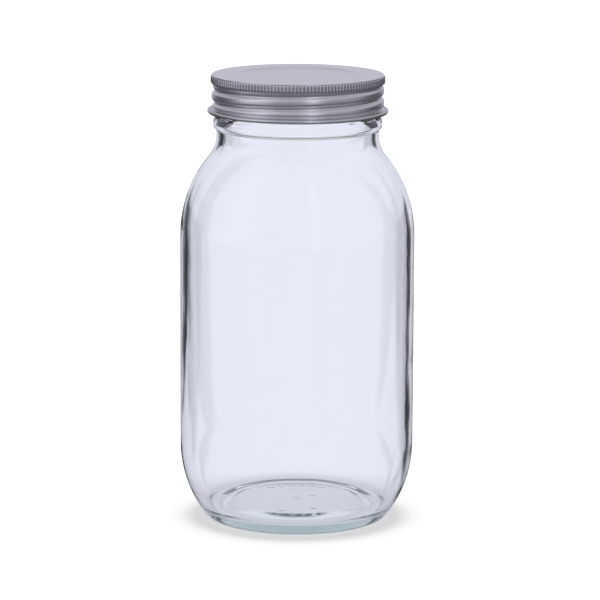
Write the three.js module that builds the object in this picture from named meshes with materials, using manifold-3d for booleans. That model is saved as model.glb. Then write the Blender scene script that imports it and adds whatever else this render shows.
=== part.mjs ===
// A clear glass storage jar with a rolled metal screw lid.
// Lengths are millimetres, +Z is up, the jar stands on z = 0 and Z is its axis.

import * as THREE from 'three';
import { mergeVertices } from 'three/addons/utils/BufferGeometryUtils.js';
import Module from 'manifold-3d';

const wasm = await Module();
wasm.setup();

// Facets round the axis, shared by glass and lid so that their threads stay parallel
const SEGMENTS = 44;

// Glass body, shoulder and heel
const BODY_RADIUS = 47.5;
const WALL = 2.8;
const HEEL_RADIUS = 48;
const HEEL_TOP_Z = 30.8;
const BASE_CORNER = 4;
const SHOULDER_RADIUS = 50.5;
const SHOULDER_Z = 116.6;

// Glass base: a foot ring round a push-up, and a floor that is raised over the push-up
const FOOT_WIDTH = 2.8;
const PUSH_UP_EDGE = 2.9;
const PUSH_UP_CENTRE = 3.6;
const PUSH_UP_SLOPE = 5;
const FLOOR_Z = 7.3;
const FLOOR_CROWN = 0.4;
const FLOOR_RADIUS = 27;
const FLOOR_EDGE_ROUND = 8;
const FLOOR_GUTTER_ROUND = 4.5;
const INNER_HEEL_RADIUS = 44.6;
const INNER_HEEL_Z = 31.2;

// Glass neck and finish
const NECK_RADIUS = 32.8;
const NECK_FILLET = 12.8;
const NECK_RING_RADIUS = 34.2;
const NECK_RING_Z = 159.9;
const NECK_RING_HEIGHT = 5.6;
const FINISH_RADIUS = 32.2;
const RIM_Z = 180;
const RIM_ROUND = 0.9;

// Right-hand screw thread shared by the glass and the lid
const THREAD_PITCH = 5.08;
const THREAD_CREST_Z = 170.7;
const GLASS_THREAD_HEIGHT = 1.8;
const GLASS_THREAD_BOTTOM = 168.3;
const GLASS_THREAD_TOP = 176.5;
const GLASS_THREAD_FADE = 1.6;
const GLASS_THREAD_ROWS = 12;

// Metal lid: sheet, rolled thread, knurled band, curled edge and pressed top
const SHEET = 0.45;
const SKIRT_RADIUS = 34.2;
const SKIRT_WAVE = 0.8;
const SKIRT_GROOVE = 2.5;
const SKIRT_BOTTOM = 168.6;
const SKIRT_TOP = 177;
const SKIRT_FADE = 0.9;
const SKIRT_ROWS = 14;
const CURL_CENTRE_RADIUS = 35.65;
const CURL_CENTRE_Z = 167.2;
const CURL_ROUND = 0.9;
const CURL_STEPS = 8;
const BAND_RADIUS = 34.7;
const BAND_BOTTOM = 177.3;
const BAND_TOP = 180.9;
const KNURL_TIP = 35.1;
const KNURL_ROOT = 34.8;
const KNURL_BORE = 34.5;
const KNURL_TEETH = 153;
const LID_TOP_Z = 182;
const LID_EDGE_ROUND = 1.4;
const PANEL_Z = 181.2;
const PANEL_RADIUS = 24.4;
const RIDGE_RADIUS = 25.6;

// Sealing compound bonded under the lid, a hair above the glass rim
const SEAL_GAP = 0.32;
const SEAL_INNER = 29;
const SEAL_OUTER = 33.2;

// Colours and surface of the two pieces
const GLASS_LOOK = { color: 0xe4eaf0, roughness: 0.05, metalness: 0 };
const LID_LOOK = { color: 0xb9bac1, roughness: 0.35, metalness: 0.9 };

// One row of a turned profile: radius, height, and how far the thread moves it outwards.
function row(r, z, wave = 0) {
  return { r, z, wave };
}

// Rows along a circular arc, angles in radians from the outward direction towards +Z.
function arc(centreR, centreZ, radius, from, to, steps) {
  const rows = [];
  for (let step = 0; step <= steps; step += 1) {
    const angle = from + ((to - from) * step) / steps;
    rows.push(row(centreR + radius * Math.cos(angle), centreZ + radius * Math.sin(angle)));
  }
  return rows;
}

// Smooth rise from 0 to 1 while value runs from low to high.
function smoothStep(value, low, high) {
  const t = Math.min(Math.max((value - low) / (high - low), 0), 1);
  return t * t * (3 - 2 * t);
}

// Rows up a threaded wall, the thread fading out at both ends.
function threadRows(radius, height, bottom, top, fade, count) {
  const rows = [];
  for (let step = 0; step <= count; step += 1) {
    const z = bottom + ((top - bottom) * step) / count;
    const strength = smoothStep(z, bottom, bottom + fade) * smoothStep(-z, -top, fade - top);
    rows.push(row(radius, z, height * strength));
  }
  return rows;
}

// Cosine of the thread phase at a height and an angle: 1 on the crest, -1 in the groove.
function threadWave(z, angle) {
  const turns = (z - THREAD_CREST_Z) / THREAD_PITCH - angle / (2 * Math.PI);
  return Math.cos(2 * Math.PI * turns);
}

// Glass has narrow rounded crests standing on a plain cylinder.
function glassThread(z, angle) {
  return ((1 + threadWave(z, angle)) / 2) ** 2;
}

// The lid has broad rounded bulges parted by a narrow pressed groove.
function lidThread(z, angle) {
  return 1 - 2 * ((1 - threadWave(z, angle)) / 2) ** SKIRT_GROOVE;
}

// Joins equal corners and drops triangles that have closed up on the axis.
function weld(geometry) {
  geometry.deleteAttribute('normal');
  geometry.deleteAttribute('uv');
  const joined = mergeVertices(geometry, 1e-4);
  const corners = joined.index.array;
  const kept = [];
  for (let at = 0; at < corners.length; at += 3) {
    const [a, b, c] = [corners[at], corners[at + 1], corners[at + 2]];
    if (a !== b && b !== c && c !== a) {
      kept.push(a, b, c);
    }
  }
  joined.setIndex(kept);
  return joined;
}

// Turns a profile round the Z axis and moves its threaded rows in or out.
function turn(profile, threadShape) {
  const points = profile.map((one) => new THREE.Vector2(one.r, one.z));
  const geometry = new THREE.LatheGeometry(points, SEGMENTS);
  geometry.rotateX(Math.PI / 2);
  const position = geometry.attributes.position;
  for (let at = 0; at < position.count; at += 1) {
    const { r, z, wave } = profile[at % profile.length];
    if (wave > 0) {
      const angle = Math.atan2(position.getY(at), position.getX(at));
      const radius = r + wave * threadShape(z, angle);
      position.setXYZ(at, radius * Math.cos(angle), radius * Math.sin(angle), z);
    }
  }
  return weld(geometry);
}

function toSolid(geometry) {
  const vertProperties = new Float32Array(geometry.attributes.position.array);
  const triVerts = new Uint32Array(geometry.index.array);
  return new wasm.Manifold(new wasm.Mesh({ numProp: 3, vertProperties, triVerts }));
}

function toGeometry(solid) {
  const mesh = solid.getMesh();
  const geometry = new THREE.BufferGeometry();
  geometry.setAttribute('position', new THREE.BufferAttribute(mesh.vertProperties, 3));
  geometry.setIndex(new THREE.BufferAttribute(mesh.triVerts, 1));
  return geometry;
}

function namedMesh(name, geometry, look) {
  geometry.computeVertexNormals();
  const mesh = new THREE.Mesh(geometry, new THREE.MeshStandardMaterial(look));
  mesh.name = name;
  return mesh;
}

// Outside of the glass from the middle of the base up to the neck.
function glassOutside() {
  const heelR = BODY_RADIUS - HEEL_RADIUS;
  const heelDrop = HEEL_TOP_Z - BASE_CORNER;
  const heelReach = Math.sqrt((HEEL_RADIUS - BASE_CORNER) ** 2 - heelDrop ** 2);
  const heelAngle = Math.atan2(-heelDrop, heelReach);
  const footOuter = heelR + heelReach;
  const footInner = footOuter - FOOT_WIDTH;
  const shoulderR = BODY_RADIUS - SHOULDER_RADIUS;
  const filletR = NECK_RADIUS + NECK_FILLET;
  const filletRise = Math.sqrt((SHOULDER_RADIUS + NECK_FILLET) ** 2 - (filletR - shoulderR) ** 2);
  const shoulderAngle = Math.atan2(filletRise, filletR - shoulderR);
  return [
    row(0, PUSH_UP_CENTRE),
    row((footInner - PUSH_UP_SLOPE) / 2, (3 * PUSH_UP_CENTRE + PUSH_UP_EDGE) / 4),
    row(footInner - PUSH_UP_SLOPE, PUSH_UP_EDGE),
    row(footInner - PUSH_UP_SLOPE / 3, PUSH_UP_EDGE / 2),
    row(footInner, 0),
    ...arc(footOuter, BASE_CORNER, BASE_CORNER, -Math.PI / 2, heelAngle, 3),
    ...arc(heelR, HEEL_TOP_Z, HEEL_RADIUS, heelAngle, 0, 8).slice(1),
    ...arc(shoulderR, SHOULDER_Z, SHOULDER_RADIUS, 0, shoulderAngle, 9),
    ...arc(filletR, SHOULDER_Z + filletRise, NECK_FILLET, shoulderAngle - Math.PI, -Math.PI, 5)
      .slice(1),
  ];
}

// Ring below the lid, the threaded finish and the rounded rim.
function glassFinish() {
  const ringRise = NECK_RING_RADIUS - NECK_RADIUS;
  const ring = [
    row(NECK_RADIUS, NECK_RING_Z),
    row(NECK_RADIUS + ringRise * 0.6, NECK_RING_Z + NECK_RING_HEIGHT * 0.08),
    row(NECK_RADIUS + ringRise * 0.93, NECK_RING_Z + NECK_RING_HEIGHT * 0.27),
    row(NECK_RING_RADIUS, NECK_RING_Z + NECK_RING_HEIGHT * 0.5),
    row(NECK_RADIUS + ringRise * 0.75, NECK_RING_Z + NECK_RING_HEIGHT * 0.75),
    row(FINISH_RADIUS, NECK_RING_Z + NECK_RING_HEIGHT),
  ];
  const thread = threadRows(
    FINISH_RADIUS,
    GLASS_THREAD_HEIGHT,
    GLASS_THREAD_BOTTOM,
    GLASS_THREAD_TOP,
    GLASS_THREAD_FADE,
    GLASS_THREAD_ROWS,
  );
  const mouth = NECK_RADIUS - WALL;
  const rimZ = RIM_Z - RIM_ROUND;
  return [
    ...ring,
    ...thread,
    ...arc(FINISH_RADIUS - RIM_ROUND, rimZ, RIM_ROUND, 0, Math.PI / 2, 3),
    ...arc(mouth + RIM_ROUND, rimZ, RIM_ROUND, Math.PI / 2, Math.PI, 3),
  ];
}

// The crossing of two circles, given by centre and radius, that lies farther from the axis.
function outerMeeting(first, firstRadius, second, secondRadius) {
  const across = second.r - first.r;
  const up = second.z - first.z;
  const apart = Math.hypot(across, up);
  const along = (firstRadius ** 2 - secondRadius ** 2 + apart ** 2) / (2 * apart);
  const aside = Math.sqrt(firstRadius ** 2 - along ** 2);
  return {
    r: first.r + (along * across + aside * up) / apart,
    z: first.z + (along * up - aside * across) / apart,
  };
}

// Inside of the glass from the mouth down to the middle of the floor.
function glassInside() {
  const bore = BODY_RADIUS - WALL;
  const mouth = NECK_RADIUS - WALL;
  const innerShoulder = SHOULDER_RADIUS - WALL;
  const innerFillet = NECK_FILLET + WALL;
  const shoulderR = BODY_RADIUS - SHOULDER_RADIUS;
  const filletR = mouth + innerFillet;
  const filletRise = Math.sqrt((innerShoulder + innerFillet) ** 2 - (filletR - shoulderR) ** 2);
  const shoulderAngle = Math.atan2(filletRise, filletR - shoulderR);
  const heelR = bore - INNER_HEEL_RADIUS;
  const edgeZ = FLOOR_Z - FLOOR_EDGE_ROUND;
  const gutter = outerMeeting(
    { r: FLOOR_RADIUS, z: edgeZ },
    FLOOR_EDGE_ROUND + FLOOR_GUTTER_ROUND,
    { r: heelR, z: INNER_HEEL_Z },
    INNER_HEEL_RADIUS - FLOOR_GUTTER_ROUND,
  );
  const heelAngle = Math.atan2(gutter.z - INNER_HEEL_Z, gutter.r - heelR);
  const edgeAngle = Math.atan2(gutter.z - edgeZ, gutter.r - FLOOR_RADIUS);
  return [
    ...arc(filletR, SHOULDER_Z + filletRise, innerFillet, -Math.PI, shoulderAngle - Math.PI, 5),
    ...arc(shoulderR, SHOULDER_Z, innerShoulder, shoulderAngle, 0, 8).slice(1),
    ...arc(heelR, INNER_HEEL_Z, INNER_HEEL_RADIUS, 0, heelAngle, 7),
    ...arc(gutter.r, gutter.z, FLOOR_GUTTER_ROUND, heelAngle, edgeAngle - Math.PI, 4).slice(1),
    ...arc(FLOOR_RADIUS, edgeZ, FLOOR_EDGE_ROUND, edgeAngle, Math.PI / 2, 2).slice(1),
    row(FLOOR_RADIUS / 2, FLOOR_Z + FLOOR_CROWN * 0.75),
    row(0, FLOOR_Z + FLOOR_CROWN),
  ];
}

// Lid profile from the middle of its top, over the edge, round the curl and back underneath.
function lidProfile() {
  const edgeR = BAND_RADIUS - LID_EDGE_ROUND;
  const edgeZ = LID_TOP_Z - LID_EDGE_ROUND;
  const skirt = threadRows(
    SKIRT_RADIUS,
    SKIRT_WAVE,
    SKIRT_BOTTOM,
    SKIRT_TOP,
    SKIRT_FADE,
    SKIRT_ROWS,
  );
  const skirtInside = skirt.map((one) => row(one.r - SHEET, one.z, one.wave));
  const sealZ = RIM_Z + SEAL_GAP;
  const underRidge = LID_TOP_Z - SHEET;
  const curl = arc(CURL_CENTRE_RADIUS, CURL_CENTRE_Z, CURL_ROUND, Math.PI * 0.6, -Math.PI, CURL_STEPS);
  return [
    row(0, PANEL_Z),
    row(PANEL_RADIUS, PANEL_Z),
    row(RIDGE_RADIUS, LID_TOP_Z),
    ...arc(edgeR, edgeZ, LID_EDGE_ROUND, Math.PI / 2, 0, 4),
    row(BAND_RADIUS, BAND_BOTTOM + 0.1),
    ...[...skirt].reverse(),
    row(SKIRT_RADIUS + 0.25, SKIRT_BOTTOM - 0.25),
    ...curl,
    row(SKIRT_RADIUS + 0.1, SKIRT_BOTTOM - 0.65),
    ...skirtInside,
    row(BAND_RADIUS - SHEET, BAND_BOTTOM + 0.4),
    row(BAND_RADIUS - SHEET, edgeZ - 0.2),
    row(SEAL_OUTER + 0.3, underRidge - 0.3),
    row(SEAL_OUTER, sealZ),
    row(SEAL_INNER, sealZ),
    row(SEAL_INNER - 0.6, underRidge),
    row(RIDGE_RADIUS + 0.3, underRidge),
    row(PANEL_RADIUS + 0.3, PANEL_Z - SHEET),
    row(0, PANEL_Z - SHEET),
  ];
}

// Toothed ring that gives the top edge of the lid its grip.
function knurlRing() {
  const outline = new THREE.Shape();
  const bore = new THREE.Path();
  for (let corner = 0; corner < 2 * KNURL_TEETH; corner += 1) {
    const angle = (Math.PI * corner) / KNURL_TEETH;
    const radius = corner % 2 === 0 ? KNURL_TIP : KNURL_ROOT;
    const place = [radius * Math.cos(angle), radius * Math.sin(angle)];
    if (corner === 0) {
      outline.moveTo(...place);
    } else {
      outline.lineTo(...place);
    }
  }
  outline.closePath();
  for (let corner = 0; corner < SEGMENTS; corner += 1) {
    const angle = (-2 * Math.PI * corner) / SEGMENTS;
    const place = [KNURL_BORE * Math.cos(angle), KNURL_BORE * Math.sin(angle)];
    if (corner === 0) {
      bore.moveTo(...place);
    } else {
      bore.lineTo(...place);
    }
  }
  bore.closePath();
  outline.holes.push(bore);
  const depth = BAND_TOP - BAND_BOTTOM;
  const geometry = new THREE.ExtrudeGeometry(outline, { depth, bevelEnabled: false });
  geometry.translate(0, 0, BAND_BOTTOM);
  return weld(geometry);
}

const glass = turn([...glassOutside(), ...glassFinish(), ...glassInside()], glassThread);
const lidSheet = toSolid(turn([...lidProfile()].reverse(), lidThread));
const lid = toGeometry(lidSheet.add(toSolid(knurlRing())));

const group = new THREE.Group();
group.name = 'storage_jar';
group.add(namedMesh('glass_jar', glass, GLASS_LOOK));
group.add(namedMesh('lid', lid, LID_LOOK));

export default group;
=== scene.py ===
"""Clear glass storage jar with a knurled metal screw lid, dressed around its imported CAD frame."""

import math

import bpy
import numpy as np
from bpy.props import FloatProperty, FloatVectorProperty, IntProperty, PointerProperty
from mathutils import Matrix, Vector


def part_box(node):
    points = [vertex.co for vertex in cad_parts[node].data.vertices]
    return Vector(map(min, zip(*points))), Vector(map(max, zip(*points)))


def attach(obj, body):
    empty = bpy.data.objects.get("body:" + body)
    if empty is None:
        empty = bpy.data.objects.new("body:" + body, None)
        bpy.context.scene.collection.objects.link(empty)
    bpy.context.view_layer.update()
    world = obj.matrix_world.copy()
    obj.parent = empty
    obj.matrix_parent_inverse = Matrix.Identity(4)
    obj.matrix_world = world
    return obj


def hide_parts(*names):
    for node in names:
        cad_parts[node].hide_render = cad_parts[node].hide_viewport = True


bl_info = {
    "name": "Glass storage jar",
    "version": (1, 0, 0),
    "blender": (4, 5, 0),
    "location": "View3D > Sidebar > Jar",
    "description": "Makes a clear glass storage jar and its metal screw lid as parametric surfaces",
    "category": "Add Mesh",
}

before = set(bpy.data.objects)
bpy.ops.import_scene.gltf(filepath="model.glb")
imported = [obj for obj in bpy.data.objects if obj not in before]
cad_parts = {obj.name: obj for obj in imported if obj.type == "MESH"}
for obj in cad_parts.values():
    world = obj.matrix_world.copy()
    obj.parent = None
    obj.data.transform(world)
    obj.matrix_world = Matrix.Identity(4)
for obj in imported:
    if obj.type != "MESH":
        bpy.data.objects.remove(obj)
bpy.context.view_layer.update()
GLASS_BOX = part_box("glass_jar")
LID_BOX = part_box("lid")
MM = 0.001
TURN = 2 * math.pi


def length(name, description, millimetres):
    """A length property, its default given in millimetres and stored in metres."""
    return FloatProperty(
        name=name, description=description, default=millimetres * MM, unit="LENGTH", precision=5
    )


def share(name, description, value):
    """A plain number property from 0 upwards."""
    return FloatProperty(name=name, description=description, default=value, min=0)


def colour(name, description, value):
    """A linear colour property."""
    return FloatVectorProperty(
        name=name, description=description, default=value, subtype="COLOR", size=3, min=0, max=4
    )


class GlassSizes(bpy.types.PropertyGroup):
    """Sizes of the glass, in metres"""

    body_radius: FloatProperty(
        name="Body radius", description="Outside of the straight wall", default=GLASS_BOX[1][0],
        unit="LENGTH",
    )
    rim_z: FloatProperty(
        name="Rim height", description="Top of the glass rim", default=GLASS_BOX[1][2],
        unit="LENGTH",
    )
    wall: length("Wall", "Thickness of the body wall", 2.8)
    heel_radius: length("Heel curve", "Radius of the curve above the foot", 48)
    heel_top: length("Heel height", "Height where the straight wall starts", 30.8)
    foot_corner: length("Foot corner", "Rounding under the heel", 4)
    foot_width: length("Foot width", "Width of the ring the jar stands on", 2.8)
    push_up_edge: length("Push-up edge", "Height of the hollow base at its edge", 2.9)
    push_up_centre: length("Push-up centre", "Height of the hollow base at its middle", 2.9)
    push_up_slope: length("Push-up slope", "Width of the sloped edge of the hollow base", 5)
    floor_z: length("Floor height", "Height of the raised inner floor at its edge", 7.3)
    floor_crown: length("Floor crown", "Rise of the inner floor at its middle", 0.0)
    floor_radius: length("Floor radius", "Radius of the flat of the raised floor", 27)
    floor_edge: length("Floor edge", "Rounding of the edge of the raised floor", 8)
    floor_gutter: length("Floor gutter", "Rounding of the gutter round the raised floor", 4.5)
    inner_heel: length("Inner heel curve", "Radius of the heel curve inside", 44.6)
    inner_heel_z: length("Inner heel height", "Height where the inner heel curve starts", 31.2)
    shoulder_radius: length("Shoulder curve", "Radius of the shoulder", 50.5)
    shoulder_z: length("Shoulder height", "Height where the shoulder starts", 116.6)
    neck_radius: length("Neck radius", "Outside of the neck", 32.8)
    neck_fillet: length("Neck fillet", "Curve from the shoulder into the neck", 12.8)
    ring_radius: length("Ring radius", "Outside of the ring below the lid", 34.2)
    ring_z: length("Ring height", "Bottom of the ring below the lid", 159.9)
    ring_height: length("Ring depth", "Height of that ring", 5.6)
    finish_radius: length("Finish radius", "Glass between the thread's crests", 32.2)
    rim_round: length("Rim rounding", "Rounding of the rim's edges", 0.9)
    thread_height: length("Thread height", "How far the glass thread stands out", 1.8)
    thread_bottom: length("Thread start", "Height where the glass thread fades in", 168.3)
    thread_top: length("Thread end", "Height where the glass thread fades out", 176.5)
    ripple: length("Ripple", "How far the inner wall wanders from round", 0.07)
    dot_radius: length("Dot radius", "Radius of the plain dots under the base", 1.0)
    dot_height: length("Dot height", "Height of the plain dots under the base", 0.3)
    columns: IntProperty(name="Columns", description="Points round the glass", default=240, min=24)


class LidSizes(bpy.types.PropertyGroup):
    """Sizes of the metal lid, in metres"""

    top_z: FloatProperty(
        name="Lid top", description="Highest point of the lid", default=LID_BOX[1][2], unit="LENGTH"
    )
    sheet: length("Sheet", "Thickness of the metal", 0.35)
    skirt_radius: length("Skirt radius", "Mean radius of the threaded skirt", 34.2)
    skirt_wave: length("Skirt wave", "Half the depth of the rolled thread", 0.6)
    skirt_bottom: length("Skirt bottom", "Height where the thread fades in", 168.6)
    skirt_top: length("Skirt top", "Height where the thread fades out", 178.2)
    skirt_fade: length("Skirt fade", "Height over which the thread fades in", 0.9)
    skirt_run_out: length("Skirt run-out", "Height over which the thread fades out", 2.2)
    groove: share("Groove", "Higher makes the pressed groove narrower", 2.5)
    thread_pitch: length("Thread pitch", "Rise of the thread in one turn", 5.08)
    thread_crest: length("Thread crest", "Height of a crest on the +X side", 170.7)
    curl_radius: length("Curl centre", "Radius of the middle of the curled edge", 35.65)
    curl_z: length("Curl height", "Height of the middle of the curled edge", 167.24)
    curl_round: length("Curl rounding", "Radius of the curled edge", 0.9)
    band_radius: length("Band radius", "Radius between the teeth of the grip", 34.72)
    band_bottom: length("Band bottom", "Lower end of the grip", 178.4)
    band_top: length("Band top", "Upper end of the grip", 181.55)
    tooth_depth: length("Tooth depth", "How far the teeth stand out", 0.45)
    teeth: IntProperty(name="Teeth", description="Teeth round the grip", default=153, min=12)
    panel_drop: length("Panel drop", "Depth of the recessed middle of the top", 0.75)
    panel_radius: length("Panel radius", "Radius of that recess", 24.4)
    seal_gap: length("Seal gap", "Air between the sealing compound and the rim", 0.32)
    seal_inner: length("Seal inner", "Inner radius of the sealing compound", 29)
    seal_outer: length("Seal outer", "Outer radius of the sealing compound", 33.2)


class Looks(bpy.types.PropertyGroup):
    """Colours and surfaces of the jar"""

    glass_index: share("Glass index", "Refractive index of the glass", 1.52)
    glass_tint: colour("Glass tint", "Light left after the tint depth", (0.81, 0.855, 0.845))
    glass_density: share("Glass density", "Strength of the tint per metre of glass", 60.0)
    metal: colour("Metal", "Pale tone of the lid", (0.90, 0.90, 0.91))
    # Dull metal: the darker tone that the soft mottling and the painted shade in the grooves and knurl
    # roots blend towards
    metal_shade_and_mottle: colour("Dull metal", "Darker tone of the lid", (0.28, 0.28, 0.30))
    metal_rough: share("Metal roughness", "Mean roughness of the satin metal", 0.27)
    edge: colour("Curled edge", "Lacquered tone at the curled edge", (0.42, 0.41, 0.34))
    lining: colour("Lining", "Tone of the lacquer and compound inside the lid", (0.72, 0.70, 0.64))


class StageSettings(bpy.types.PropertyGroup):
    """Camera, floor and light"""

    camera_back: length("Camera distance", "Distance in front of the jar's axis", 1415)
    camera_height: length("Camera height", "Height above the floor", 356.2)
    camera_side: length("Camera side", "Distance to the right of the jar's axis", 1.2)
    camera_pitch: FloatProperty(
        name="Camera pitch", description="Angle below the horizon", default=math.radians(10.676),
        subtype="ANGLE",
    )
    camera_roll: FloatProperty(
        name="Camera roll", description="Turn about the line of sight", default=math.radians(0.25),
        subtype="ANGLE",
    )
    camera_lens: FloatProperty(
        name="Lens", description="Focal length in millimetres", default=212.2, subtype="DISTANCE_CAMERA"
    )
    white: colour("White", "Colour of the backdrop's own light", (1.0, 1.0, 1.14))
    floor_white: share("Floor white", "Brightness of the floor away from the jar", 1.17)
    floor_albedo: share("Floor albedo", "How much light the floor gives back", 0.6)
    lamp_share: share("Lamp share", "Part of the floor's brightness that the lamp gives", 0.6)
    lamp_height: length("Lamp height", "Height of the lamp above the floor", 900)
    lamp_size: length("Lamp size", "Width of the round lamp", 600)
    inside_energy: share("Inside light", "Watts of the light that reaches the inside of the lid", 0.16)
    flag_white: share("Backdrop white", "Brightness of the backdrop behind the glass", 0.9)
    dark: share("Card tone", "Brightness of the dark cards beside the jar", 0.02)


def arc(centre_r, centre_z, radius, start, end, steps):
    """Profile points on a circle: its centre plus radius times cosine and sine of even angles."""
    angle = np.linspace(start, end, steps)
    return np.stack([centre_r + radius * np.cos(angle), centre_z + radius * np.sin(angle)], axis=1)


def line(start, end, steps):
    """Profile points evenly spaced on a straight line."""
    return np.linspace(start, end, steps)


def rounded(path, cuts, steps):
    """A path with its inner corners rounded: each becomes a parabola that starts and ends one cut
    away from the corner, with the corner as its control point."""
    path = np.asarray(path, dtype=float)
    runs = [path[:1]]
    t = np.linspace(0, 1, steps)[:, None]
    for before, corner, after, cut in zip(path[:-2], path[1:-1], path[2:], cuts):
        first = corner + cut * (before - corner) / np.linalg.norm(before - corner)
        last = corner + cut * (after - corner) / np.linalg.norm(after - corner)
        runs.append((1 - t) ** 2 * first + 2 * t * (1 - t) * corner + t**2 * last)
    runs.append(path[-1:])
    return joined(*runs)


def joined(*runs):
    """Runs of profile points end to end, with a repeated point kept once."""
    points = np.concatenate(runs)
    step = np.linalg.norm(np.diff(points, axis=0), axis=1)
    return points[np.concatenate([[True], step > 1e-7])]


def smooth(value, low, high):
    """Rises from 0 at low to 1 at high as 3 t squared less 2 t cubed."""
    t = np.clip((value - low) / (high - low), 0, 1)
    return t * t * (3 - 2 * t)


def around(columns):
    """Even angles for one turn, as a row."""
    return (np.arange(columns) * TURN / columns)[None, :]


def thread_wave(z, angle, lid):
    """Cosine of the screw's phase: height over pitch less the share of a turn, 1 on a crest."""
    return np.cos(TURN * (z - lid.thread_crest) / lid.thread_pitch - angle)


def new_mesh(name, points, loops, starts):
    """A mesh from flat arrays: corner places, corners of every face in turn, first corner of each."""
    mesh = bpy.data.meshes.new(name)
    mesh.vertices.add(len(points))
    mesh.vertices.foreach_set("co", np.ascontiguousarray(points, dtype=np.float32).ravel())
    mesh.loops.add(len(loops))
    mesh.loops.foreach_set("vertex_index", np.ascontiguousarray(loops, dtype=np.int32))
    mesh.polygons.add(len(starts))
    mesh.polygons.foreach_set("loop_start", np.ascontiguousarray(starts, dtype=np.int32))
    mesh.polygons.foreach_set("use_smooth", np.ones(len(starts), dtype=bool))
    mesh.update(calc_edges=True)
    if mesh.validate():
        raise RuntimeError(name + " has faces that Blender had to repair")
    piece = bpy.data.objects.new(name, mesh)
    bpy.context.scene.collection.objects.link(piece)
    return piece


def turned(name, radius, height):
    """A turned surface from two grids with one row per profile point and one column per angle: a
    corner is radius times the cosine and sine of its angle, at its height. The first and last rows
    lie on the axis and become single corners, each the middle of a fan."""
    rows, columns = radius.shape
    angle = around(columns)
    grid = np.stack([radius * np.cos(angle), radius * np.sin(angle), height], axis=2)[1:-1]
    poles = np.array([[0, 0, height[0].mean()], [0, 0, height[-1].mean()]])
    points = np.concatenate([grid.reshape(-1, 3), poles])
    inner = rows - 2
    index = np.arange(inner * columns).reshape(inner, columns)
    ahead = np.roll(index, -1, axis=1)
    quads = np.stack([index[:-1], ahead[:-1], ahead[1:], index[1:]], axis=2).reshape(-1, 4)
    low = np.full(columns, inner * columns)
    first = np.stack([low, ahead[0], index[0]], axis=1)
    last = np.stack([index[-1], ahead[-1], low + 1], axis=1)
    fans = np.concatenate([first, last])
    loops = np.concatenate([quads.ravel(), fans.ravel()])
    starts = np.concatenate(
        [np.arange(len(quads)) * 4, len(quads) * 4 + np.arange(len(fans)) * 3]
    )
    return new_mesh(name, points, loops, starts)


def row_values(grid, rows, columns):
    """Corner values for turned(): inner rows as they are, then one for each pole."""
    wide = np.broadcast_to(grid, (rows, columns))
    return np.concatenate([wide[1:-1].ravel(), [wide[0].mean(), wide[-1].mean()]])


def outer_glass(sizes):
    """Outside of the glass from the middle of the base to the neck: the hollow base, a sloped edge,
    the flat foot, and four tangent arcs with the straight wall between the second and the third."""
    heel_r = sizes.body_radius - sizes.heel_radius
    drop = sizes.heel_top - sizes.foot_corner
    reach = math.sqrt((sizes.heel_radius - sizes.foot_corner) ** 2 - drop**2)
    heel_angle = math.atan2(-drop, reach)
    foot_outer = heel_r + reach
    foot_inner = foot_outer - sizes.foot_width
    slope_top = foot_inner - sizes.push_up_slope
    shoulder_r = sizes.body_radius - sizes.shoulder_radius
    fillet_r = sizes.neck_radius + sizes.neck_fillet
    rise = math.sqrt(
        (sizes.shoulder_radius + sizes.neck_fillet) ** 2 - (fillet_r - shoulder_r) ** 2
    )
    shoulder_angle = math.atan2(rise, fillet_r - shoulder_r)
    fillet_z = sizes.shoulder_z + rise
    underside = line((0, sizes.push_up_centre), (slope_top - 3 * MM, sizes.push_up_edge), 60)
    edge = rounded(
        [
            underside[-1],
            (slope_top, sizes.push_up_edge),
            (foot_inner, 0),
            (foot_outer, 0),
        ],
        [2.6 * MM, 1.6 * MM],
        12,
    )
    return joined(
        underside,
        edge,
        arc(foot_outer, sizes.foot_corner, sizes.foot_corner, -math.pi / 2, heel_angle, 12),
        arc(heel_r, sizes.heel_top, sizes.heel_radius, heel_angle, 0, 34),
        line((sizes.body_radius, sizes.heel_top), (sizes.body_radius, sizes.shoulder_z), 32),
        arc(shoulder_r, sizes.shoulder_z, sizes.shoulder_radius, 0, shoulder_angle, 40),
        arc(fillet_r, fillet_z, sizes.neck_fillet, shoulder_angle - math.pi, -math.pi, 16),
    )


def glass_finish(sizes):
    """Ring below the lid as rounded corners, then the threaded wall and the two rim roundings."""
    rise = sizes.ring_radius - sizes.neck_radius
    z = sizes.ring_z
    deep = sizes.ring_height
    ring = rounded(
        [
            (sizes.neck_radius, z - 1.2 * MM),
            (sizes.neck_radius, z),
            (sizes.neck_radius + 0.8 * rise, z + 0.1 * deep),
            (sizes.ring_radius + 0.05 * MM, z + 0.5 * deep),
            (sizes.neck_radius + 0.6 * rise, z + 0.85 * deep),
            (sizes.finish_radius, z + deep + 0.3 * MM),
            (sizes.finish_radius, sizes.thread_bottom),
        ],
        [0.5 * MM, 0.7 * MM, 1.1 * MM, 0.6 * MM, 0.6 * MM],
        7,
    )
    mouth = sizes.neck_radius - sizes.wall
    rim = sizes.rim_z - sizes.rim_round
    return joined(
        ring,
        line((sizes.finish_radius, sizes.thread_bottom), (sizes.finish_radius, sizes.thread_top), 26),
        arc(sizes.finish_radius - sizes.rim_round, rim, sizes.rim_round, 0, math.pi / 2, 8),
        arc(mouth + sizes.rim_round, rim, sizes.rim_round, math.pi / 2, math.pi, 8),
    )


def outer_meeting(first, first_radius, second, second_radius):
    """The crossing of two circles, given by centre and radius, that lies farther from the axis."""
    across = second[0] - first[0]
    up = second[1] - first[1]
    apart = math.hypot(across, up)
    along = (first_radius**2 - second_radius**2 + apart**2) / (2 * apart)
    aside = math.sqrt(first_radius**2 - along**2)
    return (
        first[0] + (along * across + aside * up) / apart,
        first[1] + (along * up - aside * across) / apart,
    )


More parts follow.
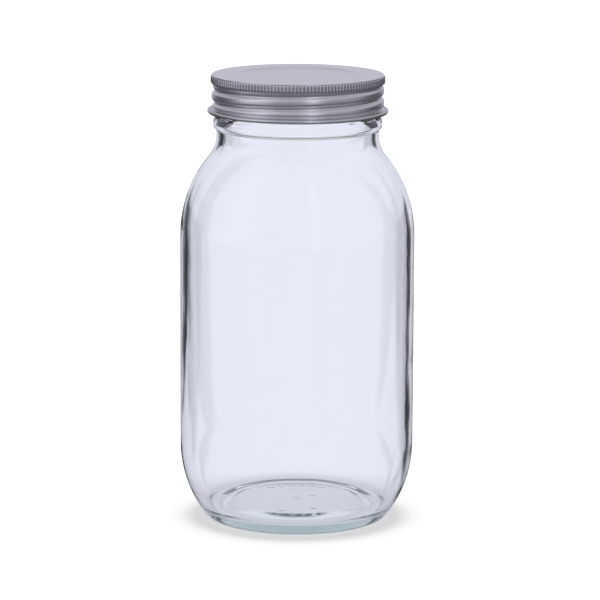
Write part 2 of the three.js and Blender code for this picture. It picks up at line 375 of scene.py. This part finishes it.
def inner_glass(sizes):
    """Inside of the glass from the mouth to the middle of the floor: the outer arcs set in by the
    wall, a heel that thickens downwards, a round gutter and a raised floor with its crown."""
    bore = sizes.body_radius - sizes.wall
    mouth = sizes.neck_radius - sizes.wall
    shoulder = sizes.shoulder_radius - sizes.wall
    fillet = sizes.neck_fillet + sizes.wall
    shoulder_r = sizes.body_radius - sizes.shoulder_radius
    fillet_r = mouth + fillet
    rise = math.sqrt((shoulder + fillet) ** 2 - (fillet_r - shoulder_r) ** 2)
    shoulder_angle = math.atan2(rise, fillet_r - shoulder_r)
    heel_r = bore - sizes.inner_heel
    edge_z = sizes.floor_z - sizes.floor_edge
    gutter_r, gutter_z = outer_meeting(
        (sizes.floor_radius, edge_z),
        sizes.floor_edge + sizes.floor_gutter,
        (heel_r, sizes.inner_heel_z),
        sizes.inner_heel - sizes.floor_gutter,
    )
    heel_angle = math.atan2(gutter_z - sizes.inner_heel_z, gutter_r - heel_r)
    edge_angle = math.atan2(gutter_z - edge_z, gutter_r - sizes.floor_radius)
    fillet_z = sizes.shoulder_z + rise
    crown = np.linspace(1, 0, 24)
    floor = np.stack(
        [sizes.floor_radius * crown, sizes.floor_z + sizes.floor_crown * (1 - crown**2)], axis=1
    )
    return joined(
        line((mouth, sizes.rim_z - sizes.rim_round), (mouth, fillet_z), 12),
        arc(fillet_r, fillet_z, fillet, -math.pi, shoulder_angle - math.pi, 18),
        arc(shoulder_r, sizes.shoulder_z, shoulder, shoulder_angle, 0, 36),
        line((bore, sizes.shoulder_z), (bore, sizes.inner_heel_z), 30),
        arc(heel_r, sizes.inner_heel_z, sizes.inner_heel, 0, heel_angle, 32),
        arc(gutter_r, gutter_z, sizes.floor_gutter, heel_angle, edge_angle - math.pi, 16),
        arc(sizes.floor_radius, edge_z, sizes.floor_edge, edge_angle, math.pi / 2, 12),
        floor,
    )


def wall_ripple(z, angle):
    """Slow wander of a blown wall, within 1 either way: a sum of cosines of the angle and height."""
    return (
        0.35 * np.cos(2 * angle + 34 * z + 0.4)
        + 0.30 * np.cos(3 * angle - 95 * z + 1.9)
        + 0.20 * np.cos(angle + 150 * z + 2.6)
        + 0.15 * np.cos(5 * angle + 210 * z + 0.9)
    )


def base_dots(radius, angle, sizes):
    """Plain round dots under the base: each adds one less its squared distance over its radius,
    held above 0. Six lie on an arc and four nearer the middle and the front."""
    x = radius * np.cos(angle)
    y = radius * np.sin(angle)
    arc_angle = np.linspace(0.32 * math.pi, 0.68 * math.pi, 6)
    on_arc = np.stack([np.cos(arc_angle), np.sin(arc_angle)], axis=1) * 20 * MM
    apart = np.array([(0, 0), (7, 4), (7, -16), (-6, -19)]) * MM
    centres = np.concatenate([on_arc, apart])
    total = np.zeros_like(x)
    for centre in centres:
        away = ((x - centre[0]) ** 2 + (y - centre[1]) ** 2) / sizes.dot_radius**2
        total = np.maximum(total, np.clip(1 - away, 0, 1))
    return sizes.dot_height * total


def make_glass_piece(sizes, lid):
    """The glass as one closed turned surface: outside, finish and inside rows in turn."""
    angle = around(sizes.columns)
    outside = outer_glass(sizes)
    finish = glass_finish(sizes)
    inside = inner_glass(sizes)
    outside_r = outside[:, :1] + 0 * angle
    under = (outside[:, :1] < 25 * MM) & (outside[:, 1:] < 5 * MM)
    outside_z = outside[:, 1:] - under * base_dots(outside_r, angle, sizes)
    finish_z = finish[:, 1:] + 0 * angle
    fade = 1.6 * MM
    strength = smooth(finish_z, sizes.thread_bottom, sizes.thread_bottom + fade)
    strength = strength * smooth(-finish_z, -sizes.thread_top, fade - sizes.thread_top)
    is_wall = np.abs(finish[:, :1] - sizes.finish_radius) < 1e-6
    crest = ((1 + thread_wave(finish_z, angle, lid)) / 2) ** 2
    finish_r = finish[:, :1] + is_wall * strength * sizes.thread_height * crest
    inside_z = inside[:, 1:] + 0 * angle
    calm = smooth(inside_z, 14 * MM, 40 * MM) * smooth(-inside_z, -150 * MM, -120 * MM)
    inside_r = inside[:, :1] + sizes.ripple * calm * wall_ripple(inside_z, angle)
    radius = np.concatenate([outside_r, finish_r, inside_r])
    height = np.concatenate([outside_z, finish_z, inside_z])
    step = np.hypot(np.diff(radius[:, 0]), np.diff(height[:, 0]))
    keep = np.concatenate([[True], step > 1e-6])
    return turned("glass_body", radius[keep], height[keep])


def lid_top(lid):
    """Top of the lid from the knurled band in to the middle: a rounded bead over the band, a flat
    ridge, a step and a recessed panel."""
    top = lid.top_z
    bead = 0.35 * MM
    bead_r = lid.band_radius + 0.1 * MM - bead
    ridge = rounded(
        [
            (bead_r, top),
            (lid.panel_radius + 1.0 * MM, top - 0.05 * MM),
            (lid.panel_radius, top - lid.panel_drop),
            (0, top - lid.panel_drop + 0.05 * MM),
        ],
        [0.7 * MM, 0.5 * MM],
        6,
    )
    return joined(
        line(
            (lid.band_radius, lid.band_top),
            (lid.band_radius - 0.2 * MM, lid.band_top + 0.15 * MM),
            3,
        ),
        arc(bead_r, top - bead, bead, -0.3, math.pi / 2, 9),
        ridge[:1],
        line(ridge[0], ridge[1], 5),
        ridge[1:-1],
        line(ridge[-2], ridge[-1], 10),
    )


def lid_under(lid, rim_z):
    """Underside of the lid from the middle out to the skirt: panel, step, the rounded ring of
    sealing compound and the corner above the skirt."""
    top = lid.top_z - lid.sheet
    seal_z = rim_z + lid.seal_gap
    return joined(
        line(
            (0, top - lid.panel_drop + 0.05 * MM),
            (lid.panel_radius - 0.6 * MM, top - lid.panel_drop),
            6,
        ),
        rounded(
            [
                (lid.panel_radius - 0.6 * MM, top - lid.panel_drop),
                (lid.panel_radius + 0.3 * MM, top - lid.panel_drop),
                (lid.panel_radius + 1.3 * MM, top),
                (lid.seal_inner - 0.6 * MM, top),
                (lid.seal_inner, seal_z),
                (lid.seal_outer, seal_z),
                (lid.seal_outer + 0.3 * MM, top - 0.35 * MM),
                (lid.band_radius - lid.sheet, top - 1.2 * MM),
                (lid.band_radius - lid.sheet, lid.band_bottom + 0.4 * MM),
            ],
            [0.3 * MM, 0.3 * MM, 0.3 * MM, 0.5 * MM, 0.5 * MM, 0.2 * MM, 0.3 * MM],
            4,
        ),
    )


def skirt_shift(z, angle, lid):
    """How far the rolled thread moves the skirt: one less twice a power of half of one less the
    screw's cosine, so that broad bulges are parted by a narrow groove, faded at both ends."""
    strength = smooth(z, lid.skirt_bottom, lid.skirt_bottom + lid.skirt_fade)
    strength = strength * smooth(-z, -lid.skirt_top, lid.skirt_run_out - lid.skirt_top)
    depth = ((1 - thread_wave(z, angle, lid)) / 2) ** lid.groove
    return lid.skirt_wave * strength * (1 - 2 * depth)


def make_lid_piece(lid, rim_z):
    """The lid as one closed turned surface: underside, inner skirt, curl, outer skirt, knurled band
    and top in turn. Teeth are a raised cosine of the angle times the tooth depth."""
    columns = 4 * lid.teeth
    angle = around(columns)
    under = lid_under(lid, rim_z)
    inner_radius = lid.skirt_radius - lid.sheet
    inner = line((inner_radius, lid.skirt_top), (inner_radius, lid.skirt_bottom), 18)
    curl = arc(lid.curl_radius, lid.curl_z, lid.curl_round, -math.pi, 0.6 * math.pi, 14)
    flare = np.array([[lid.skirt_radius + 0.25 * MM, lid.skirt_bottom - 0.25 * MM]])
    outer = line((lid.skirt_radius, lid.skirt_bottom), (lid.skirt_radius, lid.skirt_top), 34)
    band = rounded(
        [
            (lid.skirt_radius + 0.2 * MM, lid.band_bottom - 0.1 * MM),
            (lid.band_radius, lid.band_bottom),
            (lid.band_radius, lid.band_top),
        ],
        [0.1 * MM],
        3,
    )
    band = joined(band[:-1], line(band[-2], band[-1], 10))
    top = lid_top(lid)
    profile = joined(under, inner, curl, flare, outer, band, top)
    z = profile[:, 1:] + 0 * angle
    threaded = np.abs(profile[:, :1] - lid.skirt_radius + lid.sheet / 2) < lid.sheet / 2 + 1e-6
    shift = threaded * skirt_shift(z, angle, lid)
    on_band = (profile[:, :1] > lid.band_radius - 1e-6) & (profile[:, 1:] > lid.skirt_top)
    grip = smooth(z, lid.band_bottom, lid.band_bottom + 0.3 * MM)
    grip = grip * smooth(-z, -lid.band_top - 0.05 * MM, 0.4 * MM - lid.band_top)
    tooth = (0.5 + 0.5 * np.cos(lid.teeth * angle)) ** 0.7
    teeth = on_band * grip * lid.tooth_depth * tooth
    radius = profile[:, :1] + shift + teeth
    rows = len(profile)
    piece = turned("lid_shell", radius, z)
    # hollow is painted shade: full strength in the knurl roots between the teeth, and a fifth of that
    # where the thread presses the skirt in
    hollow = np.where(
        threaded, 0.2 * np.clip(-shift / lid.skirt_wave, 0, 1), on_band * grip * (1 - tooth)
    )
    # Painted shade at half strength on the flare and curl top, between the skirt's lower end and the
    # curl
    flared = smooth(-z, -lid.skirt_bottom, 0.4 * MM - lid.skirt_bottom)
    flared = flared * smooth(z, lid.curl_z, lid.curl_z + MM)
    hollow = np.maximum(hollow, 0.5 * flared)
    inside = np.zeros((rows, 1))
    inside[: len(under) + len(inner) - 1] = 1
    for name, values in (("hollow", hollow), ("inside", inside)):
        layer = piece.data.attributes.new(name, "FLOAT", "POINT")
        layer.data.foreach_set("value", row_values(values, rows, columns).astype(np.float32))
    return piece


class Wire:
    """A shader value for use in Python arithmetic: every operator adds its Math nodes."""

    def __init__(self, finish, socket):
        self.finish = finish
        self.socket = socket

    def maths(self, operation, other):
        """One Math node with this value and another as its inputs."""
        node = self.finish.tree.nodes.new("ShaderNodeMath")
        node.operation = operation
        for target, value in zip(node.inputs, (self, other)):
            self.finish.feed(target, value)
        return Wire(self.finish, node.outputs[0])

    def __add__(self, other):
        return self.maths("ADD", other)

    __radd__ = __add__

    def __mul__(self, other):
        return self.maths("MULTIPLY", other)

    __rmul__ = __mul__

    def __sub__(self, other):
        return self.maths("SUBTRACT", other)

    def __rsub__(self, other):
        return self * -1 + other


class Finish:
    """One material and its node tree."""

    def __init__(self, name):
        self.material = bpy.data.materials.new(name)
        self.material.use_nodes = True
        self.tree = self.material.node_tree
        self.tree.nodes.clear()

    def feed(self, target, value):
        """Links a wire to a socket, or sets the socket to a plain value."""
        if isinstance(value, Wire):
            self.tree.links.new(value.socket, target)
        else:
            target.default_value = value

    def node(self, kind, settings, sockets, output=0):
        """A node of a kind with its settings, its sockets' values or links, and one output's wire."""
        made = self.tree.nodes.new(kind)
        for key, value in settings.items():
            setattr(made, key, value)
        for key, value in sockets.items():
            self.feed(made.inputs[key], value)
        return Wire(self, made.outputs[output]) if made.outputs else made

    def place(self):
        """Object coordinates, which are the frame's own metres."""
        return self.node("ShaderNodeTexCoord", {}, {}, "Object")

    def noise(self, vector, scale, detail=2.0, roughness=0.5):
        """Noise from 0 to 1 at a scale per metre."""
        return self.node(
            "ShaderNodeTexNoise",
            {"noise_dimensions": "3D"},
            {"Vector": vector, "Scale": scale, "Detail": detail, "Roughness": roughness},
        )

    def blend(self, share_wire, first, second):
        """A colour part way from the first to the second."""
        return self.node(
            "ShaderNodeMix",
            {"data_type": "RGBA"},
            {"Factor": share_wire, 6: first, 7: second},
            2,
        )

    def bump(self, height, strength, distance):
        """A normal bent by a height in the given distance in metres."""
        return self.node(
            "ShaderNodeBump", {}, {"Height": height, "Strength": strength, "Distance": distance}
        )

    def attribute(self, name):
        """A value stored on the mesh."""
        return self.node("ShaderNodeAttribute", {"attribute_name": name}, {}, "Fac")

    def surface(self, shader, volume=None):
        """Ends the tree in an output."""
        sockets = {"Surface": shader}
        if volume is not None:
            sockets["Volume"] = volume
        self.node("ShaderNodeOutputMaterial", {}, sockets)
        return self.material


def full(colour_value):
    """A colour with alpha 1."""
    return (*colour_value, 1.0)


def clear_glass(looks):
    """Clear moulded glass: a faint ripple on the surface, faint handling marks and a cool body tint."""
    finish = Finish("clear_glass")
    place = finish.place()
    ripple = finish.noise(place, 55.0, 1.0)
    marks = finish.noise(place, 420.0, 3.0)
    shader = finish.node(
        "ShaderNodeBsdfPrincipled",
        {},
        {
            "Base Color": finish.blend(marks, (1.0, 1.0, 1.0, 1.0), (0.985, 0.99, 0.99, 1.0)),
            "Roughness": marks * 0.012,
            "IOR": looks.glass_index,
            "Transmission Weight": 1.0,
            "Normal": finish.bump(ripple, 0.25, 0.0004),
        },
    )
    tint = finish.node(
        "ShaderNodeVolumeAbsorption",
        {},
        {"Color": full(looks.glass_tint), "Density": looks.glass_density},
    )
    return finish.surface(shader, tint)


def satin_metal(looks, curl_z):
    """Satin silver sheet: fine grain, soft mottling, painted shade in the grooves and knurl roots, and
    a lacquered curled edge.
    """
    finish = Finish("satin_metal")
    place = finish.place()
    grain = finish.noise(place, 9000.0, 2.0)
    mottle = finish.noise(place, 160.0, 3.0)
    # The lid's hollow value is painted shade for the knurl roots, the thread groove and the flare above
    # the curl
    hollow = finish.attribute("hollow")
    split = finish.node("ShaderNodeSeparateXYZ", {}, {"Vector": place}, "Z")
    near_edge = finish.node(
        "ShaderNodeMapRange",
        {"interpolation_type": "SMOOTHSTEP"},
        {"Value": split, "From Min": curl_z - 0.1 * MM, "From Max": curl_z - 0.6 * MM},
    )
    # Darker where the random mottle is high, which is the metal's own tone, and much darker where the
    # hollow value paints shade into the grooves
    mottle_and_groove_shade = finish.node(
        "ShaderNodeMapRange",
        {},
        {"Value": 0.12 * mottle + 0.85 * hollow, "From Min": 0.05, "From Max": 0.95},
    )
    tone = finish.blend(mottle_and_groove_shade, full(looks.metal), full(looks.metal_shade_and_mottle))
    shader = finish.node(
        "ShaderNodeBsdfPrincipled",
        {},
        {
            "Base Color": finish.blend(near_edge, tone, full(looks.edge)),
            "Metallic": 1.0,
            "Roughness": looks.metal_rough + 0.06 * (mottle - 0.5) + 0.04 * (grain - 0.5),
            "Normal": finish.bump(grain, 0.05, 0.00001),
        },
    )
    return finish.surface(shader)


def lid_lining(looks):
    """Pale lacquer and sealing compound inside the lid, slightly uneven."""
    finish = Finish("lid_lining")
    place = finish.place()
    uneven = finish.noise(place, 300.0, 3.0)
    pale = tuple(min(1.0, 1.12 * part) for part in looks.lining)
    shader = finish.node(
        "ShaderNodeBsdfPrincipled",
        {},
        {
            "Base Color": finish.blend(uneven, full(looks.lining), full(pale)),
            "Roughness": 0.35 + 0.2 * uneven,
            "Normal": finish.bump(uneven, 0.3, 0.0001),
        },
    )
    return finish.surface(shader)


class JAR_OT_make_glass(bpy.types.Operator):
    """Makes the clear glass jar in place of its CAD node"""

    bl_idname = "jar.make_glass"
    bl_label = "Make glass jar"

    def execute(self, context):
        scene = context.scene
        piece = make_glass_piece(scene.jar_glass, scene.jar_lid)
        piece.data.materials.append(clear_glass(scene.jar_looks))
        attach(piece, "root")
        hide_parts("glass_jar")
        return {"FINISHED"}


class JAR_OT_make_lid(bpy.types.Operator):
    """Makes the knurled metal lid in place of its CAD node"""

    bl_idname = "jar.make_lid"
    bl_label = "Make screw lid"

    def execute(self, context):
        scene = context.scene
        piece = make_lid_piece(scene.jar_lid, scene.jar_glass.rim_z)
        mesh = piece.data
        mesh.materials.append(satin_metal(scene.jar_looks, scene.jar_lid.curl_z))
        mesh.materials.append(lid_lining(scene.jar_looks))
        inside = np.zeros(len(mesh.vertices), dtype=np.float32)
        mesh.attributes["inside"].data.foreach_get("value", inside)
        corners = np.zeros(len(mesh.loops), dtype=np.int32)
        mesh.loops.foreach_get("vertex_index", corners)
        starts = np.zeros(len(mesh.polygons), dtype=np.int32)
        mesh.polygons.foreach_get("loop_start", starts)
        lined = np.minimum.reduceat(inside[corners], starts) > 0.5
        mesh.polygons.foreach_set("material_index", lined.astype(np.int32))
        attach(piece, "root")
        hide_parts("lid")
        return {"FINISHED"}


FLOOR_REACH = 3.0
COVE_RADIUS = 0.6
WALL_TOP = 2.2
CEILING_TOP = 2.6


def surround(name, offset):
    """A round studio sweep as a turned grid: floor, cove, wall and ceiling. Rows lie closer together
    near the jar."""
    wall_radius = FLOOR_REACH + COVE_RADIUS
    floor = np.stack([FLOOR_REACH * np.linspace(0, 1, 60) ** 2, np.full(60, -offset)], axis=1)
    cove = arc(FLOOR_REACH, COVE_RADIUS, COVE_RADIUS, -math.pi / 2, 0, 12) + (0, -offset)
    wall = line((wall_radius, COVE_RADIUS), (wall_radius, WALL_TOP), 12)
    ceiling = line((wall_radius, WALL_TOP), (0, CEILING_TOP), 20)
    profile = joined(floor, cove, wall, ceiling)
    angle = around(240)
    return turned(name, profile[::-1, :1] + 0 * angle, profile[::-1, 1:] + 0 * angle)


def corner_places(piece):
    """Corner places of a piece as one array."""
    places = np.zeros(3 * len(piece.data.vertices), dtype=np.float32)
    piece.data.vertices.foreach_get("co", places)
    return places.reshape(-1, 3)


def store_glow(piece, colours):
    """Stores a stage piece's own light as one colour per corner."""
    layer = piece.data.color_attributes.new("glow", "FLOAT_COLOR", "POINT")
    with_alpha = np.concatenate([colours, np.ones((len(colours), 1))], axis=1)
    layer.data.foreach_set("color", with_alpha.astype(np.float32).ravel())


def glow_by_corner(piece, colours):
    """Makes a stage piece shine with its stored light alone."""
    store_glow(piece, colours)
    finish = Finish(piece.name)
    seen = finish.node("ShaderNodeAttribute", {"attribute_name": "glow"}, {}, "Color")
    light = finish.node("ShaderNodeEmission", {}, {"Color": seen, "Strength": 1.0})
    piece.data.materials.append(finish.surface(light))


def seen_only_by(piece, *kinds):
    """Shows a stage piece to the named kinds of ray alone."""
    for kind in ("camera", "diffuse", "glossy", "transmission", "volume_scatter", "shadow"):
        setattr(piece, "visible_" + kind, kind in kinds)


# Side, opening from the way behind the jar and angle behind the jar's side, in degrees
DARK_CARDS = ((-1, 19, 20), (1, 27, 25))
# Half the width of the white way behind the jar, in metres
WAY_HALF = 0.038
# Slot through the left card: half its width and where it narrows and ends, in metres
SLOT_HEADING = math.radians(135)
SLOT_HALF = 0.052
SLOT_TAPER = 0.06
SLOT_TAPER_FROM = 0.18
SLOT_END = (0.38, 0.5)
SLOT_SOFT = 0.008
UNDER_JAR_SHADE = 0.3


def flag_glow(places, stage):
    """Backdrop as the glass sees it: white all round, with one dark card on the floor on either side
    behind the jar. A card runs from a line that opens by one angle from the way behind the jar to a
    line that lies another angle behind the jar's side. A tapered slot cuts the left one, and a soft
    shadow lies under the jar."""
    x, y = places[:, 0], places[:, 1]
    away = np.hypot(x, y)
    soft = 0.008 + 0.03 * away
    card = np.zeros_like(x)
    for side, opening, rest in DARK_CARDS:
        outwards = side * x
        beyond = outwards - WAY_HALF - y * math.tan(math.radians(opening))
        behind = y - outwards * math.tan(math.radians(rest))
        card = np.maximum(card, smooth(beyond, -soft, soft) * smooth(behind, -soft, soft))
    along = x * math.cos(SLOT_HEADING) + y * math.sin(SLOT_HEADING)
    aside = np.sqrt(np.clip(away**2 - along**2, 0, None))
    half = SLOT_HALF - SLOT_TAPER * np.clip(along - SLOT_TAPER_FROM, 0, 0.5)
    slot = (along > 0) * smooth(half - aside, -SLOT_SOFT, SLOT_SOFT)
    slot = slot * smooth(-along, -SLOT_END[1], -SLOT_END[0])
    card = card * (1 - slot) * smooth(away, 0.04, 0.055)
    card = card * (1 - smooth(places[:, 2], 0.05, 0.3))
    shadow = UNDER_JAR_SHADE * smooth(-away, -0.07, -0.035)
    tone = stage.flag_white * (1 - shadow) * (1 - card) + stage.dark * card
    return tone[:, None] * np.array(stage.white)


# Middle from the camera's side, half width and softness in degrees, and brightness
TENT_PANELS = ((0, 95, 20, 0.24), (-62, 22, 14, 0.36), (20, 7, 7, 0.6), (180, 32, 18, 0.47))
TENT_DIM = 0.09
TENT_FLOOR = 0.06
TENT_HIGH = 0.42
TENT_CEILING = 0.4
TENT_UNDER_JAR = 0.7
LID_MIDDLE_Z = 0.17


def tent_glow(places, stage):
    """Backdrop as shiny surfaces see it: a dim floor with a pale patch under the jar, soft panels in
    front and behind, dark sides that grow paler upwards, and a pale ceiling."""
    away = np.hypot(places[:, 0], places[:, 1])
    heading = np.degrees(np.arctan2(places[:, 0], -places[:, 1]))
    rise = np.degrees(np.arctan2(places[:, 2] - LID_MIDDLE_Z, away))

    def panel(middle, half, soft):
        apart = np.abs((heading - middle + 180) % 360 - 180)
        return smooth(-apart, -half - soft, soft - half)

    tone = TENT_DIM + sum(bright * panel(*shape) for *shape, bright in TENT_PANELS)
    low = TENT_DIM + TENT_FLOOR * panel(*TENT_PANELS[0][:3])
    tone = low + (tone - low) * smooth(rise, -9.5, -8)
    tone = np.maximum(tone, TENT_HIGH * smooth(rise, 9, 14))
    tone = tone + (TENT_CEILING - tone) * smooth(rise, 55, 80)
    under = smooth(-away, -0.05, -0.042) * (places[:, 2] < 0.01)
    tone = tone + (TENT_UNDER_JAR - tone) * under
    return tone[:, None] * np.array(stage.white)


def floor_glow(places, stage):
    """The floor's own light: its white less the lamp's part, which falls off from the middle as the
    square of height squared over height squared plus distance squared."""
    spread = stage.lamp_height**2
    lit = stage.lamp_share * (spread / (spread + places[:, 0] ** 2 + places[:, 1] ** 2)) ** 2
    return (stage.floor_white - lit)[:, None] * np.ones(3)


def white_floor(stage):
    """Plain pale floor: partly its own light, like a light table, and partly a soft white face."""
    finish = Finish("white_floor")
    place = finish.place()
    fine = finish.noise(place, 40.0, 2.0)
    pale = stage.floor_albedo
    warm = (pale * 1.02, pale * 1.02, pale, 1.0)
    glow = finish.node("ShaderNodeAttribute", {"attribute_name": "glow"}, {}, "Color")
    face = finish.node(
        "ShaderNodeBsdfPrincipled",
        {},
        {
            "Base Color": finish.blend(fine, (pale, pale, pale, 1.0), warm),
            "Roughness": 0.9,
            "Specular IOR Level": 0.0,
            "Emission Color": glow,
            "Emission Strength": 1.0,
        },
    )
    return finish.surface(face)


LIGHT_BOUNCES = 48


class JAR_OT_make_stage(bpy.types.Operator):
    """Makes the floor, the backdrops, the soft light and the camera"""

    bl_idname = "jar.make_stage"
    bl_label = "Make stage"

    def execute(self, context):
        scene = context.scene
        stage = scene.jar_stage
        floor = surround("stage_floor", 0.0003)
        store_glow(floor, floor_glow(corner_places(floor), stage))
        floor.data.materials.append(white_floor(stage))
        seen_only_by(floor, "camera")
        flags = surround("stage_flags", 0.0002)
        glow_by_corner(flags, flag_glow(corner_places(flags), stage))
        seen_only_by(flags, "transmission")
        tent = surround("stage_tent", 0.0002)
        glow_by_corner(tent, tent_glow(corner_places(tent), stage))
        seen_only_by(tent, "glossy")
        self.light(stage)
        self.camera(scene, stage)
        self.tone(scene)
        return {"FINISHED"}

    def light(self, stage):
        """One broad soft lamp over the jar, and a small one in it for the light that the floor sends
        up through the glass to the inside of the lid."""
        reach = stage.lamp_size**2 / 4 + stage.lamp_height**2
        energy = stage.lamp_share * math.pi**2 * reach / stage.floor_albedo
        self.lamp("soft_top", stage.lamp_size, energy, Matrix.Translation((0, 0, stage.lamp_height)))
        upwards = Matrix.Translation((0, 0, 30 * MM)) @ Matrix.Rotation(math.pi, 4, "X")
        self.lamp("soft_inside", 50 * MM, stage.inside_energy, upwards)

    def lamp(self, name, size, energy, place):
        """A round lamp that only matte surfaces see."""
        lamp = bpy.data.lights.new(name, "AREA")
        lamp.shape = "DISK"
        lamp.size = size
        lamp.energy = energy
        lamp_object = bpy.data.objects.new(name, lamp)
        lamp_object.matrix_world = place
        lamp_object.visible_glossy = False
        lamp_object.visible_transmission = False
        lamp_object.visible_camera = False
        bpy.context.scene.collection.objects.link(lamp_object)

    def camera(self, scene, stage):
        """A long lens in front of the jar, above its lid and tipped down."""
        data = bpy.data.cameras.new("photo_view")
        data.lens = stage.camera_lens
        data.sensor_width = 36.0
        data.clip_end = 100.0
        camera = bpy.data.objects.new("photo_view", data)
        place = Matrix.Translation((stage.camera_side, -stage.camera_back, stage.camera_height))
        tip = Matrix.Rotation(math.pi / 2 - stage.camera_pitch, 4, "X")
        camera.matrix_world = place @ tip @ Matrix.Rotation(stage.camera_roll, 4, "Z")
        scene.collection.objects.link(camera)
        scene.camera = camera

    def tone(self, scene):
        """Plain colour handling and enough bounces for light to cross the thick glass."""
        scene.view_settings.view_transform = "Standard"
        scene.world = bpy.data.worlds.new("dim_room")
        scene.cycles.max_bounces = LIGHT_BOUNCES
        scene.cycles.diffuse_bounces = 1
        scene.cycles.transmission_bounces = LIGHT_BOUNCES
        scene.cycles.glossy_bounces = LIGHT_BOUNCES


class JAR_PT_panel(bpy.types.Panel):
    """Lists the jar's sizes, looks and operators"""

    bl_idname = "JAR_PT_panel"
    bl_label = "Glass storage jar"
    bl_space_type = "VIEW_3D"
    bl_region_type = "UI"
    bl_category = "Jar"

    def draw(self, context):
        for group, operator in PANEL_ROWS:
            box = self.layout.box()
            settings = getattr(context.scene, group)
            for name in settings.__annotations__:
                box.prop(settings, name)
            if operator:
                box.operator(operator)


PANEL_ROWS = (
    ("jar_glass", "jar.make_glass"),
    ("jar_lid", "jar.make_lid"),
    ("jar_looks", None),
    ("jar_stage", "jar.make_stage"),
)
SETTINGS = {
    "jar_glass": GlassSizes,
    "jar_lid": LidSizes,
    "jar_looks": Looks,
    "jar_stage": StageSettings,
}
CLASSES = (
    *SETTINGS.values(),
    JAR_OT_make_glass,
    JAR_OT_make_lid,
    JAR_OT_make_stage,
    JAR_PT_panel,
)


def register():
    for one in CLASSES:
        bpy.utils.register_class(one)
    for name, group in SETTINGS.items():
        setattr(bpy.types.Scene, name, PointerProperty(type=group))


def unregister():
    for name in SETTINGS:
        delattr(bpy.types.Scene, name)
    for one in reversed(CLASSES):
        bpy.utils.unregister_class(one)


def main():
    """Registers the add-on and makes the pieces and the stage."""
    register()
    bpy.ops.jar.make_glass()
    bpy.ops.jar.make_lid()
    bpy.ops.jar.make_stage()


if __name__ == "__main__":
    main()
